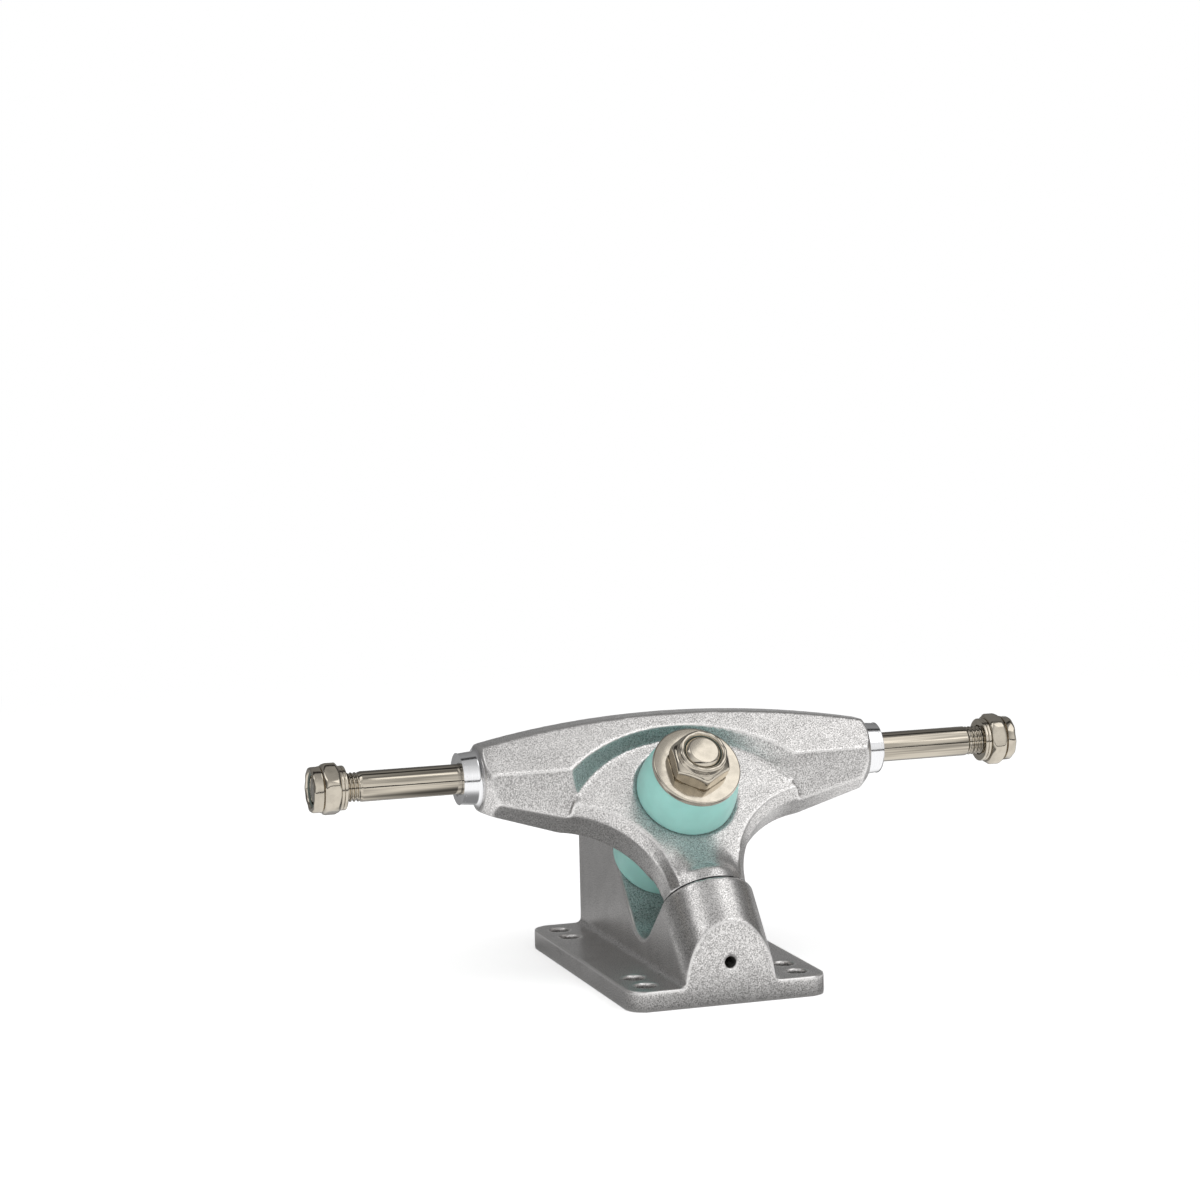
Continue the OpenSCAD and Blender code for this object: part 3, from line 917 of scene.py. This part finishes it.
def hex_radius(angle: Array, cap: Array, across_flats: float, turn: float) -> Array:
    """Radius of a hex under a turned cap.

    The hex is half its width over the cosine of the angle from the nearest flat, and the two
    are joined by the soft minimum -log(exp(-ka) + exp(-kb)) / k.

    Args:
        angle: Polar angle.
        cap: Radius of the turned surface.
        across_flats: Width of the hex.
        turn: Angle of one corner.

    Returns:
        Radius at each angle.
    """
    k, sixth = 7.0, math.pi / 3
    from_flat = np.mod(angle - turn, sixth) - sixth / 2
    hexagon = across_flats / 2 / np.cos(from_flat)
    return -np.log(np.exp(-k * hexagon) + np.exp(-k * cap)) / k


@dataclass
class LockNut:
    """Hex nut with turned corners and a crimped collar that holds a nylon ring."""

    finishes: Finishes
    name: str
    across_flats: float
    hex_h: float
    collar_h: float
    collar_r: float
    bore: float
    start: float
    turn: float
    lobes: int = 12
    place: Placer = on_kingpin
    corner_cut: float = 0.06
    crimp_r: float = 0.09
    crimp_h: float = 0.07

    def _surface(self) -> Array:
        """Works out the nut from rows of radius, height, 1 on the hex and share of the crimp.

        Returns:
            Points in metres, rows along the outline and columns round the axis.
        """
        half = self.across_flats / 2
        corner = half / math.cos(math.pi / 6) - self.corner_cut
        bore, top, lip, rim = self.bore, self.hex_h, self.collar_r, self.hex_h + self.collar_h
        rows = np.array(
            [
                (bore, 0.25, 0, 0), (bore + 0.3, 0.0, 0, 0),
                (half - 0.6, 0.0, 0, 0), (half - 0.25, 0.0, 0, 0), (half - 0.05, 0.12, 1, 0),
                (corner - 0.5, 0.35, 1, 0), (corner - 0.1, 0.62, 1, 0), (corner, 0.9, 1, 0),
                (corner, top * 0.45, 1, 0), (corner, top - 1.6, 1, 0),
                (corner - 0.12, top - 1.2, 1, 0), (corner - 0.4, top - 0.8, 1, 0),
                (corner - 0.85, top - 0.42, 1, 0), (corner - 1.5, top - 0.1, 1, 0),
                (lip + 0.12, top + 0.02, 0, 0), (lip, top + 0.2, 0, 0), (lip, rim - 0.9, 0, 0.15),
                (lip - 0.06, rim - 0.45, 0, 0.6), (lip - 0.3, rim - 0.12, 0, 1),
                (lip - 0.7, rim, 0, 1), (lip - 1.15, rim - 0.12, 0, 1),
                (lip - 1.4, rim - 0.45, 0, 0.6), (lip - 1.42, rim - 0.7, 0, 0),
                (bore, rim - 1.0, 0, 0),
            ],
            float,
        )
        cap, height, is_hex, crimp, angle = spread(rows, segments=192)
        wave = np.cos(angle * self.lobes) * 0.5 + np.cos(angle * (self.lobes - 5) + 1.3) * 0.5
        flats = hex_radius(angle, cap, self.across_flats, self.turn)
        radius = np.where(is_hex > 0.5, flats, cap + self.crimp_r * crimp * wave)
        return self.place(angle, radius, self.start + height + self.crimp_h * crimp * wave)

    def build(self, body: str, stem: str) -> None:
        """Builds the nut and its nylon ring.

        Args:
            body: Body that they ride on.
            stem: Start of the names of the ring's piece and node.
        """
        points = self._surface()
        nut = make_piece(f"{self.name}_plated", points, grid_faces(*points.shape[:2]), sharp_deg=50.0)
        dress(nut, self.finishes.nickel, "nickel", body, self.name)
        rim = self.start + self.hex_h + self.collar_h
        inner, outer = self.bore - 0.03, self.collar_r - 1.1
        profile = [
            (inner, rim - 0.95, 0.1), (outer + 0.1, rim - 0.95, 0.1),
            (outer - 0.1, rim - 0.52, 0.2), (inner, rim - 0.62, 0.15),
        ]
        ring = turned(f"{stem}_ring", rounded_profile(profile), self.place)
        dress(ring, self.finishes.nylon, "nylon", body, f"{stem}_insert")


@dataclass
class KingpinStack:
    """Kingpin, its nut, the cup washer and both bushings."""

    finishes: Finishes
    inner_low_w: float = -24.2
    seat_w: float = 6.6
    washer_w: float = 17.9
    washer_t: float = 1.8
    washer_r: float = 11.68
    washer_bore: float = 4.95
    nut_w: float = 19.7
    pin_end: float = 27.0
    pin_r: float = 4.7625
    head_w: float = -44.0
    head_h: float = 6.0
    hex_af: float = 14.29

    def build(self) -> None:
        """Builds the bushings, the washer, the kingpin and its nut."""
        low, seat, high = self.inner_low_w, self.seat_w, self.washer_w
        inner = {"low_r": 12.6, "high_r": 12.6, "swell": 0.6, "low_edge": 0.9, "high_edge": 0.9}
        outer = {"low_r": 13.2, "high_r": 11.5, "swell": 0.25, "low_edge": 0.5, "high_edge": 0.8}
        Bushing(self.finishes, "inner_bushing", ("base", "hanger"), low, -seat, **inner).build()
        Bushing(self.finishes, "outer_bushing", ("hanger", "base"), seat, high, **outer).build()
        self._washer()
        self._pin()
        flats, turn = self.hex_af, math.radians(-90.0)
        size = {"across_flats": flats, "hex_h": 4.8, "collar_h": 2.2, "collar_r": 6.4, "bore": 4.85}
        nut = LockNut(self.finishes, "kingpin_nut", start=self.nut_w, turn=turn, **size)
        nut.build("base", "kingpin_nut")

    def _washer(self) -> None:
        """Builds the washer: a flat disc with a rounded rim."""
        low, high = self.washer_w, self.washer_w + self.washer_t
        inner, outer = self.washer_bore, self.washer_r
        profile = [(inner, low, 0.1), (outer, low, 0.4), (outer, high, 0.55), (inner, high, 0.1)]
        washer = turned("outer_washer_plated", rounded_profile(profile), on_kingpin, segments=128)
        dress(washer, self.finishes.nickel, "nickel", "base", "outer_washer")

    def _pin(self) -> None:
        """Builds the kingpin: a bevelled end, a shank and a hex head.

        A row holds its radius, its height and 1 on the hex.
        """
        r, end, head, foot = self.pin_r, self.pin_end, self.head_w, self.head_w - self.head_h
        rows = np.array(
            [
                (0.0, end, 0), (r - 1.2, end, 0), (r - 1.0, end - 0.02, 0),
                (r - 0.86, end - 0.12, 0), (r - 0.2, end - 0.8, 0), (r - 0.06, end - 0.98, 0),
                (r, end - 1.2, 0), (r, end - 6.0, 0), (r, 0.0, 0), (r, head + 0.2, 0),
                (r + 0.2, head, 0), (self.hex_af / 2 - 0.2, head, 0), (8.3, head - 0.2, 1),
                (8.3, foot + 0.8, 1), (7.6, foot + 0.2, 1), (6.6, foot, 0), (0.0, foot, 0),
            ],
            float,
        )
        cap, height, is_hex, angle = spread(rows, segments=96)
        flats = hex_radius(angle, np.maximum(cap, 1.0), self.hex_af, math.radians(-60.0))
        radius = np.where(is_hex > 0.5, flats, cap)
        points = on_kingpin(angle, radius, height)
        pin = make_piece("kingpin_plated", points, grid_faces(*points.shape[:2]))
        dress(pin, self.finishes.nickel, "nickel", "base", "kingpin")


@dataclass
class Hanger:
    """Cast hanger with its machined bosses, and the axle pressed through it."""

    finishes: Finishes
    arm_end: float = 53.8
    nose_u: float = -28.4
    shoulder: float = 58.6
    boss_r: float = 7.0
    root_r: float = 7.9
    axle_r: float = 3.97
    thread_x: float = 84.8
    axle_end: float = 97.4
    thread_r: float = 3.84
    thread_pitch: float = 1.058
    thread_depth: float = 0.5
    axle_segments: int = 72

    def build(self) -> None:
        """Builds the casting, the bosses and the axle."""
        fit = {"boss_from": self.arm_end + 0.3, "nose_u": self.nose_u}
        yoke = Casting("hanger", voxel_mm=0.46, relax=3, **fit).build()
        dress(yoke, self.finishes.casting, "cast_metal", "hanger", "hanger")
        for side in Side:
            self._boss(side)
        self._axle()

    def _boss(self, side: Side) -> None:
        """Builds one boss with the fillet at its root.

        Args:
            side: End of the axle.
        """
        end, r, bore = self.shoulder, self.boss_r, self.axle_r + 0.02
        start = self.arm_end - 1.5
        t = np.linspace(0.0, 1.0, 8)
        root = np.stack([r + (self.root_r - r) * (1 - t) ** 2, self.arm_end + 0.9 * t], 1)
        rounding = rounded_profile([(r, end, 0.35), (bore, end, 0.12)], steps=5)[:5]
        face = [[r - 0.5, end], [self.axle_r + 0.3, end], [bore, end - 0.2]]
        profile = np.concatenate([[[bore, start], [self.root_r, start]], root, rounding, face])
        boss = turned(f"{side.label}_boss", profile, on_axle(side), segments=128)
        dress(boss, self.finishes.boss, "cast_metal", "hanger")

    def _axle(self) -> None:
        """Builds the axle as one surface from end to end, with a screw thread at both ends.

        The thread's radius is its outer radius less the depth times a rounded triangle wave of
        x / pitch - angle / turn, which fades out over one pitch beside the plain shaft.
        """
        end, start, shaft, crest = self.axle_end, self.thread_x, self.axle_r, self.thread_r
        plain = 24
        rows = int((end - 0.8 - start) / self.thread_pitch * 10)
        parts = (
            (np.linspace(0.0, start - 0.35, plain), np.full(plain, shaft)),
            ([start - 0.12, start], [shaft - 0.03, shaft - 0.12]),
            (np.linspace(start + 0.25, end - 0.8, rows), np.full(rows, crest)),
            (end - np.array([0.4, 0.1, 0, 0, 0]), [crest - 0.45, crest - 0.72, crest - 0.9, 1.6, 0]),
        )
        half, fixed = (np.concatenate([part[i] for part in parts]) for i in range(2))
        whole = [np.concatenate([-half[::-1], half[1:]]), np.concatenate([fixed[::-1], fixed[1:]])]
        x, base, angle = spread(np.stack(whole, 1), self.axle_segments)
        phase = np.mod(x / self.thread_pitch - angle / (2 * math.pi), 1.0)
        wave = np.abs(phase * 2 - 1)
        wave = wave * wave * (3 - 2 * wave)
        run_out = np.clip((np.abs(x) - start) / self.thread_pitch, 0, 1)
        reach = run_out * np.clip((end - 0.35 - np.abs(x)) / 0.5, 0, 1)
        radius = np.maximum(base - self.thread_depth * wave * reach, 0.0)
        points = AXLE.place(1, x, radius * np.cos(angle), radius * np.sin(angle))
        faces = grid_faces(*x.shape)[: -self.axle_segments]
        axle = make_piece("axle_shaft", points, faces, sharp_deg=55.0)
        dress(axle, self.finishes.axle_steel, "nickel", "hanger", "axle")


@dataclass
class AxleEnd:
    """Two speed washers, the locking nut and its nylon ring at one end of the axle."""

    finishes: Finishes
    side: Side
    nut_turn: float
    first_x: float = 89.0
    nut_x: float = 90.83
    washer_t: float = 0.9
    washer_r: float = 5.78
    bore: float = 4.05

    def build(self) -> None:
        """Builds the washers and the nut."""
        place, label, bore, r = on_axle(self.side), self.side.label, self.bore, self.washer_r
        for number, which in enumerate(("inner", "outer")):
            near = self.first_x + number * self.washer_t
            far = near + self.washer_t
            profile = [(bore, near, 0.1), (r, near, 0.25), (r, far, 0.25), (bore, far, 0.1)]
            washer = turned(f"{label}_{which}_washer_plated", rounded_profile(profile), place)
            dress(washer, self.finishes.nickel, "nickel", f"{label}_washers", f"{label}_{which}_washer")
        size = {"across_flats": 12.7, "hex_h": 4.7, "collar_h": 2.5, "collar_r": 5.95, "bore": 3.93}
        turn, look = math.radians(self.nut_turn), {"lobes": 10, "place": place, "corner_cut": 0.35}
        nut = LockNut(self.finishes, f"{label}_axle_nut", start=self.nut_x, turn=turn, **size, **look)
        nut.build(f"{label}_nut", f"{label}_nut")


@dataclass(frozen=True)
class RoomLight:
    """Soft room round the truck, as strengths by direction.

    Over the top, in degrees, it runs from the front horizon (0) past straight up (90) to the
    back horizon (180): a wide bright cloth in front, a dimmer one above, a dark gap and a grey
    ceiling behind. Both sides fall off, by the sideways part of the direction. Matt surfaces
    get more of it by matt_lift, and shiny ones see a white wall low behind and to the right.
    """

    over: Stops = (
        (-90, 0.05), (-6.5, 0.05), (-4.0, 1.25), (20, 1.42), (45, 1.02), (70, 0.7),
        (95, 0.6), (98.5, 0.05), (109, 0.05), (113, 0.4), (140, 0.34), (168, 0.24),
    )
    side: Stops = (
        (-0.97, 0.3), (-0.86, 0.7), (-0.6, 1.0), (0.35, 1.0), (0.7, 0.8), (0.95, 0.45),
    )
    wall: Stops = ((0, 0.0), (170, 0.0), (174, 0.65), (180, 0.65))
    wall_side: Stops = ((-0.1, 0.0), (0.15, 1.0))
    matt_lift: float = 1.65
    full: float = 1.5

    def build(self) -> None:
        """Wires the room into a new world, plain white to the camera and to clear pieces."""
        world = bpy.data.worlds.new("studio_room")
        g = Graph(world)
        split = g.add("SeparateXYZ", {0: g.add("TexCoord").outputs["Generated"]}).outputs
        path = g.add("LightPath").outputs
        angle = g.math("ARCTAN2", split["Z"], g.math("MULTIPLY", split["Y"], -1.0))
        over, wall = (
            self._steps(g, angle, [(math.radians(at), strength) for at, strength in stops])
            for stops in (self.over, self.wall)
        )
        side, beside = (self._steps(g, split["X"], stops) for stops in (self.side, self.wall_side))
        lift = g.math("MULTIPLY_ADD", path["Is Diffuse Ray"], self.matt_lift - 1.0, 1.0)
        level = g.math("MULTIPLY", lift, g.math("MULTIPLY", over, side))
        room = g.add("Background", {"Strength": level})
        white = g.add("Background", {"Color": WHITE})
        shiny = g.math("MULTIPLY", g.math("MULTIPLY", wall, beside), path["Is Glossy Ray"])
        plain = g.math("MAXIMUM", path["Is Camera Ray"], path["Is Transmission Ray"])
        mix = g.add("MixShader", {"Fac": g.math("MAXIMUM", plain, shiny), 1: room, 2: white})
        g.add("OutputWorld", {"Surface": mix})
        bpy.context.scene.world = world

    def _steps(self, graph: Graph, value: Value, stops: Stops) -> Node:
        """Maps a value through stops, with a grey ramp whose white stands for full strength.

        Args:
            graph: Graph of the world.
            value: What drives it.
            stops: Value and strength of each stop.

        Returns:
            Node that gives the strength.
        """
        low, high = stops[0][0], stops[-1][0]
        tones = [((at - low) / (high - low), [strength / self.full] * 3) for at, strength in stops]
        tone = graph.ramp(graph.scaled(value, 0.0, 1.0, low, high), tones)
        return graph.math("MULTIPLY", tone, self.full)


@dataclass(frozen=True)
class Floor:
    """Pale floor, in metres from the truck.

    The camera sees it matt with a lift, so that only the shadow shows, fading to plain white.
    Shiny surfaces see a white sheet that ends in front of the truck and is darker behind it, and
    near the truck it is darker still, a painted shadow of the truck. Each band is where a strength
    starts and ends to change, and its two values.
    """

    reach: float = 6.0
    count: int = 25
    tone: float = 0.88
    camera_lift: float = 0.42
    fade: Band = (0.14, 0.6, 0.0, 1.0)
    front_end: Band = (-0.42, -0.37, 0.04, 1.15)
    behind: Band = (0.01, 0.1, 1.0, 0.26)
    # Painted shadow of the truck on the sheet that shiny surfaces see, near the truck.
    shadow_near: Band = (0.05, 0.085, 0.22, 1.0)

    def build(self) -> None:
        """Lays the floor."""
        t = np.linspace(-self.reach, self.reach, self.count)
        x, y = np.meshgrid(t, t)
        points = np.stack([x, y, np.zeros_like(x)], -1)
        faces = grid_faces(*x.shape).reshape(*x.shape, 4)[:-1, :-1]
        mesh = bpy.data.meshes.new("pale_floor")
        mesh.from_pydata(points.reshape(-1, 3).tolist(), [], faces.reshape(-1, 4).tolist())
        mesh.materials.append(self._paint())
        floor = linked("pale_floor", mesh)

    def _paint(self) -> Material:
        """Builds the material.

        Returns:
            The material.
        """
        material = bpy.data.materials.new("pale_floor")
        g = Graph(material)
        place = g.add("TexCoord").outputs["Object"]
        y = g.add("SeparateXYZ", {0: place}).outputs["Y"]
        distance = g.add("VectorMath", {0: place})
        distance.operation = "LENGTH"
        away = distance.outputs["Value"]
        path = g.add("LightPath").outputs
        matt = g.add("BsdfDiffuse", {"Color": (self.tone, self.tone, self.tone, 1.0)})
        lift = g.math("MULTIPLY", path["Is Camera Ray"], self.camera_lift)
        glow = g.add("Emission", {"Color": WHITE, "Strength": lift})
        lifted = g.add("AddShader", {0: matt, 1: glow})
        white = g.add("Emission", {"Color": WHITE})
        seen = g.add("MixShader", {"Fac": self._band(g, away, self.fade), 1: lifted, 2: white})
        ahead = g.math("MULTIPLY", self._band(g, y, self.front_end), self._band(g, y, self.behind))
        # This band paints the truck's shadow into the sheet that shiny surfaces see.
        sheet = g.math("MULTIPLY", ahead, self._band(g, away, self.shadow_near))
        mirrored = g.add("Emission", {"Color": WHITE, "Strength": sheet})
        final = g.add("MixShader", {"Fac": path["Is Glossy Ray"], 1: seen, 2: mirrored})
        g.add("OutputMaterial", {"Surface": final})
        return material

    @staticmethod
    def _band(graph: Graph, value: NodeSocket, band: Band) -> NodeSocket:
        """Maps a value smoothly through a band.

        Args:
            graph: Graph of the floor's material.
            value: What drives it.
            band: Where the strength starts and ends to change, and its two values.

        Returns:
            Strength socket.
        """
        start, end, low, high = band
        strength = graph.scaled(value, low, high, start, end)
        strength.node.interpolation_type = "SMOOTHSTEP"
        return strength


def stand(thing: Object, at: Sequence[float], *axes: Array) -> None:
    """Puts a lamp or a camera at its place.

    Args:
        thing: The lamp or camera.
        at: Its place.
        *axes: Unit vectors along its own x, y and z.
    """
    rows = np.column_stack([*axes, at])
    thing.matrix_world = Matrix([*rows.tolist(), [0.0, 0.0, 0.0, 1.0]])


@dataclass(frozen=True)
class Softbox:
    """Square lamp aimed at the truck."""

    name: str
    place: tuple[float, float, float]
    size: float
    watts: float
    aim_z: float = 0.035

    def build(self) -> None:
        """Builds the lamp."""
        data = bpy.data.lights.new(self.name, "AREA")
        data.shape, data.size, data.energy = "SQUARE", self.size, self.watts
        z = np.array(self.place) - np.array([0.0, 0.0, self.aim_z])
        z /= np.linalg.norm(z)
        x = np.cross([0.0, 0.0, 1.0], z)
        x /= np.linalg.norm(x)
        stand(linked(self.name, data), self.place, x, np.cross(z, x), z)


@dataclass(frozen=True)
class Studio:
    """Floor, room, lamps and the camera at the photograph's place, solved from the plate."""

    eye: tuple[float, float, float] = (-0.293326, -0.847457, 0.204679)
    azimuth: float = -17.9583
    elevation: float = 6.67686
    roll: float = -1.27878
    focal_px: float = 3423.487
    frame_px: float = 1200.0
    sensor_mm: float = 36.0
    lamps: tuple[Softbox, ...] = (
        Softbox("key_softbox", (0.62, -0.5, 0.92), 0.85, 2.45),
        Softbox("left_softbox", (-0.72, -0.07, 0.9), 0.5, 0.95),
    )

    def build(self) -> None:
        """Builds everything round the object."""
        bpy.context.scene.view_settings.view_transform = "Standard"
        RoomLight().build()
        Floor().build()
        for lamp in self.lamps:
            lamp.build()
        self._camera()

    def _camera(self) -> None:
        """Places the camera from its azimuth, elevation and roll."""
        a, e, r = (math.radians(v) for v in (self.azimuth, self.elevation, self.roll))
        back = np.array([math.sin(a) * math.cos(e), -math.cos(a) * math.cos(e), math.sin(e)])
        right = np.array([math.cos(a), math.sin(a), 0.0])
        up = np.cross(back, right)
        turned_right = math.cos(r) * right + math.sin(r) * up
        turned_up = -math.sin(r) * right + math.cos(r) * up
        data = bpy.data.cameras.new("photo_camera")
        data.sensor_width = self.sensor_mm
        data.lens = self.focal_px / self.frame_px * self.sensor_mm
        data.clip_start, data.clip_end = 0.01, 50.0
        camera = linked("photo_camera", data)
        stand(camera, self.eye, turned_right, turned_up, back)
        bpy.context.scene.camera = camera


@dataclass
class Truck:
    """The whole truck, with its two axle nuts turned as in the photograph."""

    finishes: Finishes = field(default_factory=Finishes)
    left_turn: float = 39.0
    right_turn: float = 14.0

    def build(self) -> None:
        """Builds every sub-assembly in order."""
        for assembly in (Base, KingpinStack, Hanger):
            assembly(self.finishes).build()
        AxleEnd(self.finishes, Side.LEFT, self.left_turn).build()
        AxleEnd(self.finishes, Side.RIGHT, self.right_turn).build()


def main() -> None:
    logging.basicConfig(level=logging.INFO, format="%(name)s %(message)s")
    Truck().build()
    Studio().build()


if __name__ == "__main__":
    main()
